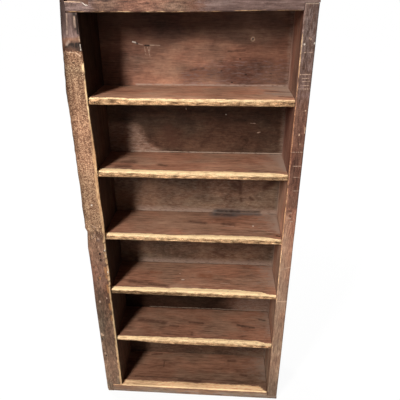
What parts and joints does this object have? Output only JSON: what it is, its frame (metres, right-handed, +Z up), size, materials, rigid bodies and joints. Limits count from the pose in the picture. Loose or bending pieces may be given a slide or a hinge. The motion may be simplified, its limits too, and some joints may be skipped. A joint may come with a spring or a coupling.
{
  "type": "wall cabinet",
  "caption": "Open-fronted wooden wall cabinet of nailed boards: fixed shelves between a thick waney left side and a thinner right side, with a closed board back for hanging on a wall.",
  "frame": {"origin": "middle of the width and depth, on the underside", "axes": "+Z up the height, +Y into the wall, open front towards -Y, thick left side at -X"},
  "size_m": [0.4114, 0.1212, 0.87],
  "materials": {
    "case_wood": "old dark stained pine, worn to raw wood on the edges",
    "shelf_wood": "reddish brown stained pine, raw worn front edges",
    "back_wood": "brown stained pine with scratches",
    "nail_iron": "rusted dark iron"
  },
  "bodies": {
    "root": {"side_left": "case_wood", "side_right": "case_wood", "top_board": "case_wood", "bottom_board": "case_wood", "shelf_1": "shelf_wood", "shelf_2": "shelf_wood", "shelf_3": "shelf_wood", "shelf_4": "shelf_wood", "shelf_5": "shelf_wood", "back_board_1": "back_wood", "back_board_2": "back_wood", "back_board_3": "back_wood", "back_board_4": "back_wood", "nail_shelf_1_left_front": "nail_iron", "nail_shelf_1_left_rear": "nail_iron", "nail_shelf_1_right_front": "nail_iron", "nail_shelf_1_right_rear": "nail_iron", "nail_shelf_2_left_front": "nail_iron", "nail_shelf_2_left_rear": "nail_iron", "nail_shelf_2_right_front": "nail_iron", "nail_shelf_2_right_rear": "nail_iron", "nail_shelf_3_left_front": "nail_iron", "nail_shelf_3_left_rear": "nail_iron", "nail_shelf_3_right_front": "nail_iron", "nail_shelf_3_right_rear": "nail_iron", "nail_shelf_4_left_front": "nail_iron", "nail_shelf_4_left_rear": "nail_iron", "nail_shelf_4_right_front": "nail_iron", "nail_shelf_4_right_rear": "nail_iron", "nail_shelf_5_left_front": "nail_iron", "nail_shelf_5_left_rear": "nail_iron", "nail_shelf_5_right_front": "nail_iron", "nail_shelf_5_right_rear": "nail_iron", "nail_top_left_front": "nail_iron", "nail_top_left_rear": "nail_iron", "nail_top_right_front": "nail_iron", "nail_top_right_rear": "nail_iron", "nail_bottom_left_front": "nail_iron", "nail_bottom_left_rear": "nail_iron", "nail_bottom_right_front": "nail_iron", "nail_bottom_right_rear": "nail_iron", "nail_back_1_left_lower": "nail_iron", "nail_back_1_left_upper": "nail_iron", "nail_back_1_right_lower": "nail_iron", "nail_back_1_right_upper": "nail_iron", "nail_back_2_left_lower": "nail_iron", "nail_back_2_left_upper": "nail_iron", "nail_back_2_right_lower": "nail_iron", "nail_back_2_right_upper": "nail_iron", "nail_back_3_left_lower": "nail_iron", "nail_back_3_left_upper": "nail_iron", "nail_back_3_right_lower": "nail_iron", "nail_back_3_right_upper": "nail_iron", "nail_back_4_left_lower": "nail_iron", "nail_back_4_left_upper": "nail_iron", "nail_back_4_right_lower": "nail_iron", "nail_back_4_right_upper": "nail_iron", "nail_back_1_shelf_1": "nail_iron", "nail_back_2_shelf_3": "nail_iron"}
  },
  "joints": []
}
